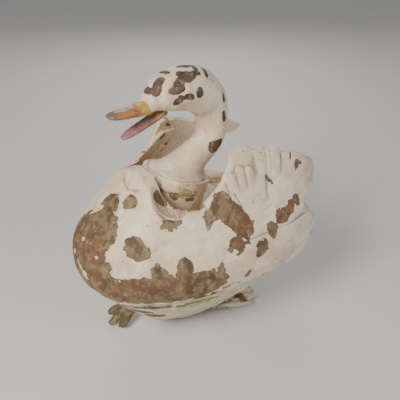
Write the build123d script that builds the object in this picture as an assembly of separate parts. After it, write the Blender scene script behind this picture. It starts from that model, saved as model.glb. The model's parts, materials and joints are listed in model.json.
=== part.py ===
from build123d import *
from math import cos, pi, radians, sin
import os

# A hollow, keel-weighted swan decoy that floats on a pond or stands on its keel.
# Millimetres, +Z up, the bird looks along -Y and its left side is +X.
# The origin is on the ground, under the middle of the whole bird's box.

# ---- driving dimensions --------------------------------------------------
SHIFT_Y = -4.5           # moves the whole bird so that its box is centred on the origin
SEAM = 120.0             # height of the joint between the lower hull and the upper body
GASKET = 2.0             # thickness of the joint's gasket
WALL = 3.6               # wall of the cast shells
RIM_WALL = 9.0           # wall round the well
WING = 5.5               # thickness of the wing panels
TAIL = 8.0               # thickness of the tail fan
FULLNESS = 2.2           # 2 is a plain ellipse, more is fuller in the corners
BELLY_SHARE = 0.58       # how far back along an oval it is widest

NECK_TILT = 18.0         # the neck turns about an axis leaning back by this
COLLAR = (0, -34, 272)   # centre of the collar face that the neck turns on
NECK_FOOT = 43.0         # radius of the neck where it meets the collar
SPIGOT = 10.0            # radius of the spigot that the neck turns on
RUNNING = 0.05           # radial clearance of every turning fit

KEEL_WIDTH, KEEL_FRONT, KEEL_REAR, KEEL_TOP = 32.0, -60.0, 60.0, 14.0
LINE_HOLE = 3.0          # radius of the anchor line's hole through the keel
LINE_HOLE_PLACE = (0, -36, 7)
TIE_BOLTS_Y = (-6.0, 40.0)
TIE_POSTS_TOP = (195.0, 184.0)   # the posts over the tie bolts end inside the well's floor
JAW_PIN = (0, -55, 374)
JAW_DROP = 21.0          # how far below level the lower bill hangs at rest

# Level ovals of the body: height, front, rear, half width.
BODY_OVALS = [
    (14, -84, 52, 34),
    (40, -112, 86, 60),
    (67, -138, 126, 82),
    (94, -162, 168, 103),
    (120, -184, 198, 120),
    (146, -201, 204, 133),
    (172, -204, 206, 137),
    (198, -197, 206, 134),
    (224, -175, 206, 128),
    (250, -148, 204, 119),
    (276, -120, 198, 110),
    (302, -102, 187, 101),
    (328, -76, 174, 93),
    (354, -56, 160, 86),
]
HULL_OVALS = BODY_OVALS[:6]
# The shoulders seen from the front: half width and height, from the collar outwards.
SHOULDERS = [(0, 295), (22, 291), (40, 282), (60, 269), (80, 261), (100, 257), (122, 255)]


# ---- helpers -------------------------------------------------------------
def loop(plane, right, front, rear, fullness=2.0, points=16):
    """A closed smooth outline on a plane, egg shaped along the plane's y."""
    corners = []
    for step in range(points):
        turn = 2 * pi * step / points
        across, along = cos(turn), sin(turn)
        reach = rear if along > 0 else front
        x = right * abs(across) ** (2 / fullness) * (1 if across > 0 else -1)
        y = reach * abs(along) ** (2 / fullness) * (1 if along > 0 else -1)
        corners.append(plane.from_local_coords((x, y, 0)))
    return Face(Wire([Edge.make_spline(corners, periodic=True)]))


def form(ovals, grow=0.0):
    """A smooth body through level ovals, all of them grown or shrunk."""
    faces = []
    for level, front, rear, half in ovals:
        widest = front + BELLY_SHARE * (rear - front)
        plane = Plane((0, widest, level))
        faces.append(loop(plane, half + grow, widest - front + grow, rear - widest + grow, FULLNESS))
    return loft(faces)


def half_width(y, z):
    """Half width of the body at a station, between the two nearest ovals."""
    for low, high in zip(BODY_OVALS, BODY_OVALS[1:]):
        if low[0] <= z <= high[0]:
            share = (z - low[0]) / (high[0] - low[0])
            front, rear, half = (a + share * (b - a) for a, b in zip(low[1:], high[1:]))
    widest = front + BELLY_SHARE * (rear - front)
    reach = rear - widest if y > widest else widest - front
    return half * (1 - (abs(y - widest) / reach) ** FULLNESS) ** (1 / FULLNESS)


def side_profile(points, x_from, x_to):
    """A slab across the bird whose outline, in y and z, is seen from the side."""
    outline = Polyline(*[(x_from, y, z) for y, z in points], close=True)
    return extrude(Face(outline.wire()), x_to - x_from, dir=(1, 0, 0))


def box(low, high):
    """A box between two corners."""
    size = [b - a for a, b in zip(low, high)]
    return Pos(*[(a + b) / 2 for a, b in zip(low, high)]) * Box(*size)


def rod(radius, start, end):
    """A round bar between two points."""
    start, end = Vector(*start), Vector(*end)
    return Solid.make_cylinder(radius, (end - start).length, Plane(start, z_dir=end - start))


def joined(pieces):
    """The union of several solids."""
    whole = pieces[0]
    for piece in pieces[1:]:
        whole = whole + piece
    return whole


def without(solid, *tools):
    """A solid with several tools cut out of it."""
    for tool in tools:
        solid = solid - tool
    return solid


COLLAR_PLANE = Plane(COLLAR, x_dir=(1, 0, 0), z_dir=(0, sin(radians(NECK_TILT)), cos(radians(NECK_TILT))))


def on_collar(radius, low, high, hole=0.0):
    """A disc or ring about the neck's axis, by its heights above the collar face."""
    solid = Solid.make_cylinder(radius, high - low, COLLAR_PLANE.offset(low))
    if hole:
        solid = solid - Solid.make_cylinder(hole, high - low, COLLAR_PLANE.offset(low))
    return solid


# ---- lower hull, keel and what is bolted to them ---------------------------
PLUG = (0, 76)           # place of the drain plug
PLUG_FACE, PLUG_RADIUS = 28.0, 6.0
LEFT_ANKLE = (44, 14, 20)
RIGHT_ANKLE = (-38, -95, 31)
EAR_GAP, EAR, ANKLE_PIN = 9.0, 4.0, 2.5
BRACKET_SCREW = 2.0


def bracket_screw_places(ankle):
    """The two screws of a foot bracket, one in front of the other."""
    return [(ankle[0], ankle[1] + step) for step in (-9, 9)]


def bracket_base(ankle):
    """Height of the flat pad under the hull that a foot bracket is screwed to."""
    return ankle[2] + 8.0


def lower_hull():
    outside = form(HULL_OVALS) & box((-200, -300, 14), (200, 300, SEAM - GASKET / 2))
    inside = form(HULL_OVALS, -WALL) & box((-200, -300, 14 + WALL), (200, 300, SEAM))
    # The hull stays solid around each recess, so that no recess opens into it.
    inside = inside - rod(15, (*PLUG, 10), (*PLUG, PLUG_FACE + 14))
    for ankle in (LEFT_ANKLE, RIGHT_ANKLE):
        inside = inside - box((ankle[0] - 13, ankle[1] - 19, 10),
                              (ankle[0] + 13, ankle[1] + 19, bracket_base(ankle) + 14))
    flange = outside & box((-200, -300, SEAM - GASKET / 2 - 5), (200, 300, SEAM))
    flange = flange - (form(HULL_OVALS, -WALL - 9) & box((-200, -300, 60), (200, 300, SEAM)))
    pads = [rod(14, (*PLUG, PLUG_FACE), (*PLUG, PLUG_FACE + 12))]
    for ankle in (LEFT_ANKLE, RIGHT_ANKLE):
        base = bracket_base(ankle)
        pads.append(box((ankle[0] - 9, ankle[1] - 15, base), (ankle[0] + 9, ankle[1] + 15, base + 12)))
    hull = joined([outside - inside, flange] + [pad & form(HULL_OVALS, 3) for pad in pads])
    tools = [rod(PLUG_RADIUS + RUNNING, (*PLUG, 0), (*PLUG, 60)), rod(11, (*PLUG, 0), (*PLUG, PLUG_FACE))]
    tools += [rod(3.3, (0, y, 0), (0, y, 30)) for y in TIE_BOLTS_Y]
    for ankle in (LEFT_ANKLE, RIGHT_ANKLE):
        base = bracket_base(ankle)
        tools.append(box((ankle[0] - 9, ankle[1] - 15, base - 30), (ankle[0] + 9, ankle[1] + 15, base)))
        tools += [rod(BRACKET_SCREW + 0.02, (x, y, base), (x, y, base + 9))
                  for x, y in bracket_screw_places(ankle)]
    return without(hull, *tools)


def keel():
    length = KEEL_REAR - KEEL_FRONT
    middle = (KEEL_REAR + KEEL_FRONT) / 2
    slab = extrude(Pos(0, middle, 0) * SlotOverall(length, KEEL_WIDTH, rotation=90), KEEL_TOP)
    slab = fillet(slab.edges().group_by(Axis.Z)[0], 2.5)
    x, y, z = LINE_HOLE_PLACE
    tools = [rod(LINE_HOLE, (-40, y, z), (40, y, z))]
    for bolt in TIE_BOLTS_Y:
        tools += [rod(3.3, (0, bolt, 0), (0, bolt, 20)), rod(7, (0, bolt, 0), (0, bolt, 6))]
    return without(slab, *tools)


def ballast():
    room = form(HULL_OVALS, -WALL - 1) & box((-30, -72, 14 + WALL), (30, 50, 40))
    return without(room, *[rod(3.3, (0, y, 0), (0, y, 60)) for y in TIE_BOLTS_Y])


def tie_bolts():
    bolts = [rod(3, (0, y, 4.5), (0, y, 150)) + rod(6, (0, y, 1), (0, y, 4.5)) for y in TIE_BOLTS_Y]
    return [without(bolt, rod(2.4, (0, y, 0), (0, y, 3))) for bolt, y in zip(bolts, TIE_BOLTS_Y)]


def tie_washers():
    return [rod(6.6, (0, y, 4.5), (0, y, 6)) - rod(3.2, (0, y, 4), (0, y, 7)) for y in TIE_BOLTS_Y]


def drain_plug():
    head = Pos(*PLUG, PLUG_FACE - 1.5 - 2.5) * extrude(RegularPolygon(9, 6), 5, both=False)
    head = Pos(0, 0, -2.5) * head
    return head + rod(PLUG_RADIUS, (*PLUG, PLUG_FACE - 1.5), (*PLUG, PLUG_FACE + 18))


def drain_washer():
    low = PLUG_FACE - 1.5
    return rod(10, (*PLUG, low), (*PLUG, PLUG_FACE)) - rod(PLUG_RADIUS + 0.1, (*PLUG, low), (*PLUG, 40))


# ---- feet: each swings on a pin in its own bracket under the hull -----------
LEFT_TOES = ((17, 62), (3, 85), (-10, 94))       # toe directions in degrees, lengths
RIGHT_TOES = ((25, 52), (1, 57), (-24, 51))
LEFT_PITCH, RIGHT_PITCH = 10.0, 29.5


def foot(toes, pitch, heading, ankle):
    """A webbed foot that hangs from its ankle: three toes, the web and the barrel."""
    tips = [(length * sin(radians(a)), length * cos(radians(a))) for a, length in toes]
    inner = [(0.86 * (x1 + x2) / 2, 0.86 * (y1 + y2) / 2) for (x1, y1), (x2, y2) in zip(tips, tips[1:])]
    outline = [(4, 0), tips[0], inner[0], tips[1], inner[1], tips[2], (-4, 0)]
    web = extrude(Face(Polyline(*outline, close=True).wire()), 3.2)
    parts = [Pos(0, 0, -2.4) * web]
    for x, y in tips:
        parts.append(Solid.make_cone(3.6, 2.4, (x * x + y * y) ** 0.5, Plane((0, 0, 0), z_dir=(x, y, 0))))
        parts.append(Pos(x, y, 0) * Sphere(2.4))
    barrel = Pos(0, 0, 0) * Rot(0, 90, 0) * Cylinder(5.5, EAR_GAP - 0.6)
    whole = joined(parts) & box((-60, 2, -20), (60, 200, 20))
    whole = joined([whole, box((-EAR_GAP / 2 + 0.3, 0, -3), (EAR_GAP / 2 - 0.3, 8, 3)), barrel])
    side = EAR_GAP / 2 - 0.3
    ears = [rod(9, (side, 0, 0), (side + 12, 0, 0)), rod(9, (-side, 0, 0), (-side - 12, 0, 0))]
    whole = without(whole, Rot(0, 90, 0) * Cylinder(ANKLE_PIN + RUNNING, 40), *ears)
    return Pos(*ankle) * Rot(0, 0, heading) * Rot(-pitch, 0, 0) * whole


def foot_bracket(ankle):
    """A clevis: a base plate under the hull's pad with two ears for the pin."""
    x, y, z = ankle
    base = bracket_base(ankle)
    plate = box((x - 8.5, y - 14, base - 3), (x + 8.5, y + 14, base))
    ears = []
    for side in (-1, 1):
        inner, outer = side * EAR_GAP / 2, side * (EAR_GAP / 2 + EAR)
        low, high = sorted((inner, outer))
        ears.append(box((x + low, y - 5, z), (x + high, y + 5, base)))
        ears.append(rod(5, (x + low, y, z), (x + high, y, z)))
    screws = [rod(BRACKET_SCREW + 0.1, (a, b, base - 5), (a, b, base)) for a, b in bracket_screw_places(ankle)]
    pin = rod(ANKLE_PIN, (x - 20, y, z), (x + 20, y, z))
    room = box((x - EAR_GAP / 2, y - 7, z - 12), (x + EAR_GAP / 2, y + 7, base - 0.8))
    return without(joined([plate] + ears), pin, room, *screws)


def foot_pin(ankle):
    x, y, z = ankle
    reach = EAR_GAP / 2 + EAR
    return rod(ANKLE_PIN, (x - reach, y, z), (x + reach, y, z))


def foot_screws():
    screws = []
    for ankle in (LEFT_ANKLE, RIGHT_ANKLE):
        base = bracket_base(ankle)
        for x, y in bracket_screw_places(ankle):
            head = rod(3.2, (x, y, base - 4.6), (x, y, base - 3))
            screws.append(head + rod(BRACKET_SCREW, (x, y, base - 3), (x, y, base + 8)))
    return screws


# ---- upper body: chest, well, collar and pillar ----------------------------
WING_BOLTS = ((40, 168), (84, 150), (18, 156))
TAIL_BOLTS_X = (-32, 32)
TAIL_BOLT_Z = 136.0
BOLT = 2.5
CEILING = 400.0
ARCH_REAR = -48.0        # the shoulders' arch ends here and the wings take over
# Seen from the side, front to rear: the top of the body's wall and the floor of its well.
RIM_LINE = [(-62, 264), (-48, 267), (-34, 276), (-18, 290), (-2, 300), (26, 298), (52, 240), (84, 206),
            (110, 182), (142, 177), (172, 174), (240, 158)]
FLOOR_LINE = [(-86, 196), (-6, 196), (60, 180), (110, 163), (240, 147)]


def wing_bolt_root(place):
    """The outside of the body where a wing bolt comes through."""
    return half_width(*place)


def tail_bolt_root(x):
    """The rear face of the body where a tail bolt comes through."""
    front, rear, half = HULL_OVALS[-1][1:]
    widest = front + BELLY_SHARE * (rear - front)
    return widest + (rear - widest) * (1 - (abs(x) / half) ** FULLNESS) ** (1 / FULLNESS)


def above(line, drop=0.0):
    """Everything over a line seen from the side."""
    points = [(y, z - drop) for y, z in line]
    return side_profile(points + [(line[-1][0], CEILING), (line[0][0], CEILING)], -200, 200)


def pillar(radius):
    """The stem under the collar, down to the well's floor."""
    return on_collar(radius, -100, 0) & box((-100, -200, FLOOR_LINE[0][1] - WALL), (100, 200, CEILING))


def shoulder_arch(drop=0.0):
    """Everything under the shoulders, as one long arch along the bird."""
    left = [(x, z - drop) for x, z in SHOULDERS]
    points = [(-x, z) for x, z in reversed(left[1:])] + left
    crown = Edge.make_spline([Vector(x, -300, z) for x, z in points])
    low, high = points[0], points[-1]
    rest = Polyline((*high[:1], -300, high[1]), (200, -300, high[1]), (200, -300, 0), (-200, -300, 0),
                    (-200, -300, low[1]), (low[0], -300, low[1]))
    return extrude(Face(Wire([crown] + rest.edges())), 600, dir=(0, 1, 0))


def upper_body():
    floor = SEAM + GASKET / 2
    whole = form(BODY_OVALS) & box((-200, -300, floor), (200, 300, CEILING))
    outside = whole - (box((-200, -300, 230), (200, ARCH_REAR, CEILING)) - shoulder_arch())
    well = (form(BODY_OVALS, -RIM_WALL) & above(FLOOR_LINE)) - pillar(50)
    saddle = box((-34, -96, FLOOR_LINE[0][1]), (34, -60, 258)) & outside
    body = joined([without(outside, above(RIM_LINE), well), saddle, pillar(50), on_collar(56, -14, 0)])
    body = without(body, on_collar(57, 0, 60))
    lip = on_collar(56, -1, 3, NECK_FOOT + 0.9)
    under = [(y, z - WALL) for y, z in reversed(FLOOR_LINE[1:])]
    room = [(-240, floor - 1), (240, floor - 1)] + under
    room += [(-92, FLOOR_LINE[0][1] - WALL), (-98, 200), (-98, 330), (-240, 330)]
    hollow = (form(BODY_OVALS, -WALL) & side_profile(room, -200, 200)) & shoulder_arch(WALL)
    hollow = hollow - pillar(50)
    flange = outside & box((-200, -300, floor), (200, 300, floor + 5))
    flange = flange - (form(HULL_OVALS, -WALL - 9) & box((-200, -300, 60), (200, 300, 160)))
    body = joined([body - hollow, flange, lip])
    for y, top in zip(TIE_BOLTS_Y, TIE_POSTS_TOP):
        body = body + rod(9, (0, y, SEAM + 12), (0, y, top))
    tools = [rod(3.05, (0, y, 100), (0, y, 152)) for y in TIE_BOLTS_Y]
    for place in WING_BOLTS:
        root = wing_bolt_root(place)
        for side in (-1, 1):
            body = body + rod(7, (side * (root - 12), *place), (side * (root - 3), *place))
            tools.append(rod(BOLT + 0.1, (side * (root - 20), *place), (side * (root + 20), *place)))
    for x in TAIL_BOLTS_X:
        root = tail_bolt_root(x)
        body = body + rod(7, (x, root - 12, TAIL_BOLT_Z), (x, root - 3, TAIL_BOLT_Z))
        tools.append(rod(BOLT + 0.1, (x, root - 20, TAIL_BOLT_Z), (x, root + 20, TAIL_BOLT_Z)))
    tools += [on_collar(14, -41, 5), on_collar(20, -3, 5), on_collar(44, -110, -40),
              on_collar(44, -41, -9, 21)]
    return without(body, *tools)


def hull_gasket():
    ring = form(HULL_OVALS, -1) - form(HULL_OVALS, -WALL - 8)
    return ring & box((-200, -300, SEAM - GASKET / 2), (200, 300, SEAM + GASKET / 2))


def neck_bush():
    return without(on_collar(20, -3, 0) + on_collar(14, -40, -3), on_collar(SPIGOT + RUNNING, -60, 5))


# ---- wings and tail: panels bolted on from inside --------------------------
WING_INNER_X = 66.0
# Outlines seen from the side, from the front edge over the feather tips to the lower edge.
LEFT_WING_EDGE = [
    (-62, 236), (-56, 266), (-36, 279), (-23, 292), (-11, 309), (-2, 327), (7, 333), (23, 334), (34, 327),
    (47, 329), (58, 325), (71, 326), (78, 315), (96, 311), (116, 302), (138, 290), (160, 276), (162, 264),
    (149, 246), (128, 242), (112, 234), (112, 222), (130, 206), (158, 184), (166, 160), (150, 128),
    (96, 124), (40, 136), (-6, 170), (-44, 206),
]
RIGHT_WING_EDGE = [
    (-62, 236), (-40, 250), (-22, 262), (-18, 284), (-12, 303), (-6, 317), (4, 320), (14, 314), (27, 314),
    (42, 307), (62, 300), (90, 296), (116, 290), (138, 286), (157, 279), (152, 263), (134, 258), (84, 258),
    (64, 240), (60, 212), (84, 196), (112, 178), (150, 168), (166, 152), (150, 128), (96, 124), (40, 136),
    (-6, 170), (-44, 206),
]


def wing(side, edge):
    near, far = sorted((side * WING_INNER_X, side * 200))
    panel = (form(BODY_OVALS, WING) & side_profile(edge, near, far)) - form(BODY_OVALS)
    for place in WING_BOLTS:
        root = wing_bolt_root(place)
        panel = panel - rod(BOLT + 0.02, (side * (root - 20), *place), (side * (root + 3), *place))
    return panel


def wing_bolts():
    bolts = []
    for place in WING_BOLTS:
        root = wing_bolt_root(place)
        for side in (-1, 1):
            shank = rod(BOLT, (side * (root - 12), *place), (side * (root + 2.6), *place))
            head = rod(4.5, (side * (root - 15), *place), (side * (root - 12), *place))
            bolts.append(shank + head)
    return bolts


def tail():
    fan = (form(BODY_OVALS, TAIL) & box((-62, 120, 102), (62, 260, 160))) - form(BODY_OVALS)
    for x in TAIL_BOLTS_X:
        root = tail_bolt_root(x)
        fan = fan - rod(BOLT + 0.02, (x, root - 20, TAIL_BOLT_Z), (x, root + 5.5, TAIL_BOLT_Z))
    return fan


def tail_bolts():
    bolts = []
    for x in TAIL_BOLTS_X:
        root = tail_bolt_root(x)
        shank = rod(BOLT, (x, root - 12, TAIL_BOLT_Z), (x, root + 5, TAIL_BOLT_Z))
        bolts.append(shank + rod(4.5, (x, root - 15, TAIL_BOLT_Z), (x, root - 12, TAIL_BOLT_Z)))
    return bolts


# ---- neck, head and bill ---------------------------------------------------
# Stations along the neck: y, z, lean of the section, half width, half depth.
NECK_STATIONS = [
    (-32.7, 276.1, 18, 42.4, 42.4),
    (-11, 288, 36, 27, 27),
    (10, 301, 43, 23.5, 23),
    (26, 318, 26, 23, 23),
    (31, 338, 5, 24, 24),
    (30, 358, -16, 25, 26),
    (18, 381, -50, 28, 30),
]
HEAD_STATIONS = [
    NECK_STATIONS[-1],
    (-4, 397, -76, 31, 33),
    (-26, 402, -88, 32, 32),
    (-48, 401, -96, 29, 28),
    (-66, 396.5, -102, 22, 20),
    (-80.5, 387, -100, 15.5, 11),
]
SLEEVE = 16.0
EYE_PLACE = (-46, 411)
EYE_X = 26.5


def station(y, z, lean, half_x, half_depth, grow=0.0):
    """A section across the neck; lean turns its normal from +Z towards +Y."""
    normal = (0, sin(radians(lean)), cos(radians(lean)))
    plane = Plane((0, y, z), x_dir=(1, 0, 0), z_dir=normal)
    return loop(plane, half_x + grow, half_depth + grow, half_depth + grow)


def neck():
    outside = loft([station(*s) for s in NECK_STATIONS]) + on_collar(NECK_FOOT, 0.3, 4.6)
    inside = loft([station(*s, grow=-WALL) for s in NECK_STATIONS[1:]])
    sleeve = sleeve_rod(SLEEVE + 0.1, -30, 30)
    return without(outside, inside, on_collar(SPIGOT + 0.02, -5, 20), sleeve)


def sleeve_rod(radius, low, high):
    """A round bar along the joint between neck and head."""
    y, z, lean = NECK_STATIONS[-1][:3]
    normal = Vector(0, sin(radians(lean)), cos(radians(lean)))
    centre = Vector(0, y, z)
    return rod(radius, tuple(centre + normal * low), tuple(centre + normal * high))


def head_sleeve():
    return sleeve_rod(SLEEVE, -13, 13) - sleeve_rod(SLEEVE - 3, -20, 20)


def neck_spigot():
    shaft = on_collar(SPIGOT, -53, 19)
    return shaft - on_collar(6, -60, 30)


def mouth_room():
    """Room under the head for the lower bill's root, and for its way up."""
    y, z = JAW_PIN[1:]
    points = [(y + 8, z - 30), (y + 8, z + 6), (y - 6, z + 6.5), (y - 24, z + 3.5), (y - 46, z), (y - 46, z - 30)]
    return side_profile(points, -10.6, 10.6)


def head():
    outside = loft([station(*s) for s in HEAD_STATIONS])
    inside = loft([station(*s, grow=-WALL) for s in HEAD_STATIONS[:4]])
    sleeve = sleeve_rod(SLEEVE + 0.1, -30, 16)
    x, y, z = JAW_PIN
    pin = rod(1.5, (-13, y, z), (13, y, z))
    cheeks = joined([rod(7, (side * 10.6, y, z), (side * 16, y, z)) for side in (-1, 1)])
    solid = joined([outside - inside, outside & cheeks])
    peg = rod(4.1, (0, -58, 388.8), (0, -90, 385.6))
    eyes = [rod(3.02, (side * (EYE_X - 12), *EYE_PLACE), (side * 60, *EYE_PLACE)) for side in (-1, 1)]
    seats = [eye_disc(side, 0.1) for side in (-1, 1)]
    return without(solid, sleeve, mouth_room(), pin, peg, *eyes, *seats)


def eye_disc(side, grow=0.0):
    """The almond of an eye, a thin dished piece let into the head."""
    plane = Plane((side * (EYE_X - 2), *EYE_PLACE), x_dir=(0, 1, 0), z_dir=(side, 0, 0))
    almond = Ellipse(13 + grow, 6.5 + grow)
    return extrude(plane * almond, 5.5)


def eye(side):
    stem = rod(3, (side * (EYE_X - 9), *EYE_PLACE), (side * EYE_X, *EYE_PLACE))
    return eye_disc(side) + stem


def bill_loft(stations):
    """A bill half through flat sections: y, z, lean, half width, rise, depth."""
    faces = []
    for y, z, lean, half, rise, depth in stations:
        normal = (0, sin(radians(lean)), cos(radians(lean)))
        plane = Plane((0, y, z), x_dir=(1, 0, 0), z_dir=normal)
        faces.append(loop(plane, half, rise, depth, 2.3))
    return loft(faces)


def upper_bill():
    stations = [
        (-79.5, 385, -96, 14.5, 10, 9),
        (-95, 383.5, -93, 13, 7.5, 8),
        (-112, 383, -90, 12, 6, 6.5),
        (-128, 383, -90, 11, 4.6, 5),
        (-137.5, 383, -90, 5.5, 2, 2.4),
    ]
    blade = bill_loft(stations) - loft([station(*s) for s in HEAD_STATIONS])
    peg = rod(4, (0, -66, 388), (0, -86, 386))
    return joined([blade, peg]) - mouth_room()


def lower_bill():
    y, z = JAW_PIN[1:]
    reach = Vector(0, -cos(radians(JAW_DROP)), -sin(radians(JAW_DROP)))
    sections = []
    for along, half, up, down in ((1, 8.5, 4, 6), (26, 10.4, 4, 6.4), (48, 10, 3.6, 5.4), (62, 8, 2.8, 4),
                                  (69, 4.4, 1.5, 2.2)):
        centre = Vector(0, y, z) + reach * along
        sections.append((centre.Y, centre.Z, -90 - JAW_DROP, half, down, up))
    blade = bill_loft(sections)
    barrel = rod(4.4, (-9.9, y, z), (9.9, y, z))
    return joined([blade, barrel]) - rod(1.5 + RUNNING, (-20, y, z), (20, y, z))


def jaw_pin():
    x, y, z = JAW_PIN
    return rod(1.5, (-13, y, z), (13, y, z))


def spigot_nut():
    plane = COLLAR_PLANE.offset(-52)
    return extrude(plane * RegularPolygon(17, 6), 9) - on_collar(SPIGOT + 0.02, -60, -30)


# ---- every node, written in one frame --------------------------------------
NODES = {
    "lower_hull": lower_hull(),
    "upper_body": upper_body(),
    "hull_gasket": hull_gasket(),
    "keel": keel(),
    "ballast": ballast(),
    "tie_bolts": tie_bolts(),
    "tie_washers": tie_washers(),
    "drain_plug": drain_plug(),
    "drain_washer": drain_washer(),
    "left_wing": wing(1, LEFT_WING_EDGE),
    "right_wing": wing(-1, RIGHT_WING_EDGE),
    "wing_bolts": wing_bolts(),
    "tail": tail(),
    "tail_bolts": tail_bolts(),
    "neck_bush": neck_bush(),
    "left_foot_bracket": foot_bracket(LEFT_ANKLE),
    "right_foot_bracket": foot_bracket(RIGHT_ANKLE),
    "left_foot_pin": foot_pin(LEFT_ANKLE),
    "right_foot_pin": foot_pin(RIGHT_ANKLE),
    "foot_screws": foot_screws(),
    "neck": neck(),
    "head": head(),
    "head_sleeve": head_sleeve(),
    "upper_bill": upper_bill(),
    "left_eye": eye(1),
    "right_eye": eye(-1),
    "jaw_pin": jaw_pin(),
    "neck_spigot": neck_spigot(),
    "spigot_washer": on_collar(20, -43, -40.4, SPIGOT + 0.1),
    "spigot_nut": spigot_nut(),
    "lower_bill": lower_bill(),
    "left_foot": foot(LEFT_TOES, LEFT_PITCH, 0, LEFT_ANKLE),
    "right_foot": foot(RIGHT_TOES, RIGHT_PITCH, 180, RIGHT_ANKLE),
}

os.makedirs("parts", exist_ok=True)
for name, shape in NODES.items():
    solids = shape if isinstance(shape, list) else [shape]
    moved = [Pos(0, SHIFT_Y, 0) * solid for solid in solids]
    export_step(moved[0] if len(moved) == 1 else Compound(children=moved), f"parts/{name}.step")
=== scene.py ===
# %% [markdown]
# This lesson finishes a hollow swan decoy. The real thing is a thin casting in two
# halves under thick cream paint that has flaked away in hard-edged patches. The CAD
# part gives every size and every joint. Blender adds what a foundry and fifty years
# outdoors add: rounded casting edges, feathers, chips, rust and moss.

# %% Load the frame
import json
import math

import bmesh
import bpy
import numpy as np
from mathutils import Matrix, Vector
from mathutils.bvhtree import BVHTree

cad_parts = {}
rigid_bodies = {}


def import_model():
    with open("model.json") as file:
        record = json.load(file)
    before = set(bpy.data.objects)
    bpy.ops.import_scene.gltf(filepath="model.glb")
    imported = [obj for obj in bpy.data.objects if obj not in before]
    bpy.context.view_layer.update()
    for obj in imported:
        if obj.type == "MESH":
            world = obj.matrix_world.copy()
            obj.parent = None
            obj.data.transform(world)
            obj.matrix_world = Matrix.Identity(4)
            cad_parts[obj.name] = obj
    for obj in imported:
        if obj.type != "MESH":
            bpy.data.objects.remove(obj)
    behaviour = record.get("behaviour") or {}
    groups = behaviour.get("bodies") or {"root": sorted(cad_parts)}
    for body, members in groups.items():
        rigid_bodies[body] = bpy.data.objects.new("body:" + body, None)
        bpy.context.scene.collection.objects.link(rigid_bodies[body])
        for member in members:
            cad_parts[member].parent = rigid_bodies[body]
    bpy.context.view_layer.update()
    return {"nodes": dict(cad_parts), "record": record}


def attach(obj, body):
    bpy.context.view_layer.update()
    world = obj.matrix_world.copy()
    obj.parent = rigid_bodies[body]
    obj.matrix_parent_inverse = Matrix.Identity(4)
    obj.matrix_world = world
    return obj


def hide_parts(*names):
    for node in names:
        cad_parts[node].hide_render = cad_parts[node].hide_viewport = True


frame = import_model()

MM = 0.001

# %% [markdown]
# The sculpting below works on plain arrays of points in millimetres, because a whole
# skin of a hundred thousand points is then moved at once. Two small helpers read the
# points and outward directions from a mesh, and write moved points back.

# %% Points in and out of a mesh
def points_of(mesh):
    flat = np.empty(len(mesh.vertices) * 3, np.float32)
    mesh.vertices.foreach_get("co", flat)
    return flat.reshape(-1, 3).astype(float) / MM


def normals_of(mesh):
    flat = np.empty(len(mesh.vertices) * 3, np.float32)
    mesh.vertex_normals.foreach_get("vector", flat)
    return flat.reshape(-1, 3).astype(float)


def put_points(mesh, points):
    mesh.vertices.foreach_set("co", (points * MM).astype(np.float32).ravel())
    mesh.update()


def edges_of(mesh):
    flat = np.empty(len(mesh.edges) * 2, np.int64)
    mesh.edges.foreach_get("vertices", flat)
    return flat.reshape(-1, 2)


def put_attribute(mesh, name, values):
    layer = mesh.attributes.get(name) or mesh.attributes.new(name, "FLOAT", "POINT")
    layer.data.foreach_set("value", values.astype(np.float32))


# %% [markdown]
# A casting has no knife edges. Each CAD node is therefore copied, its loose triangles
# are merged, and a voxel remesh turns it into one even skin that can be smoothed and
# carved. Extra rods, balls and blocks can be joined in before the remesh, to close a
# bolt hole or to thicken a toe.

# %% Join CAD nodes into one skin
def add_rod(shape, start, end, radius, end_radius=None):
    start, end = Vector(start) * MM, Vector(end) * MM
    along = end - start
    place = Matrix.Translation((start + end) / 2) @ along.to_track_quat("Z", "Y").to_matrix().to_4x4()
    bmesh.ops.create_cone(shape, cap_ends=True, segments=28, radius1=radius * MM,
                          radius2=(radius if end_radius is None else end_radius) * MM,
                          depth=along.length, matrix=place)


def add_ball(shape, centre, size):
    place = Matrix.Translation(Vector(centre) * MM) @ Matrix.Diagonal((*[s * MM for s in size], 1))
    bmesh.ops.create_icosphere(shape, subdivisions=3, radius=1.0, matrix=place)


def add_block(shape, low, high):
    middle = [(a + b) / 2 * MM for a, b in zip(low, high)]
    place = Matrix.Translation(middle) @ Matrix.Diagonal((*[(b - a) * MM for a, b in zip(low, high)], 1))
    bmesh.ops.create_cube(shape, size=1.0, matrix=place)


def joined_copy(name, nodes, rods=(), balls=(), blocks=()):
    shape = bmesh.new()
    for node in nodes:
        shape.from_mesh(frame["nodes"][node].data)
    bmesh.ops.remove_doubles(shape, verts=shape.verts, dist=1e-6)
    for rod in rods:
        add_rod(shape, *rod)
    for ball in balls:
        add_ball(shape, *ball)
    for block in blocks:
        add_block(shape, *block)
    mesh = bpy.data.meshes.new(name)
    shape.to_mesh(mesh)
    shape.free()
    piece = bpy.data.objects.new(name, mesh)
    bpy.context.scene.collection.objects.link(piece)
    return piece


def finished_mesh(piece):
    """The mesh with its modifiers carried out, which are then removed."""
    graph = bpy.context.evaluated_depsgraph_get()
    mesh = bpy.data.meshes.new_from_object(piece.evaluated_get(graph))
    piece.modifiers.clear()
    piece.data = mesh
    return mesh


# %% [markdown]
# A casting is hollow, and a remesh keeps the walls of a closed hollow as shells of their
# own. Nobody ever sees them, so only the largest shell is kept. Smoothing then takes
# the steps of the voxels away; a plain smoothing would also shrink the piece, so each
# step inwards is followed by one outwards.

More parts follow.
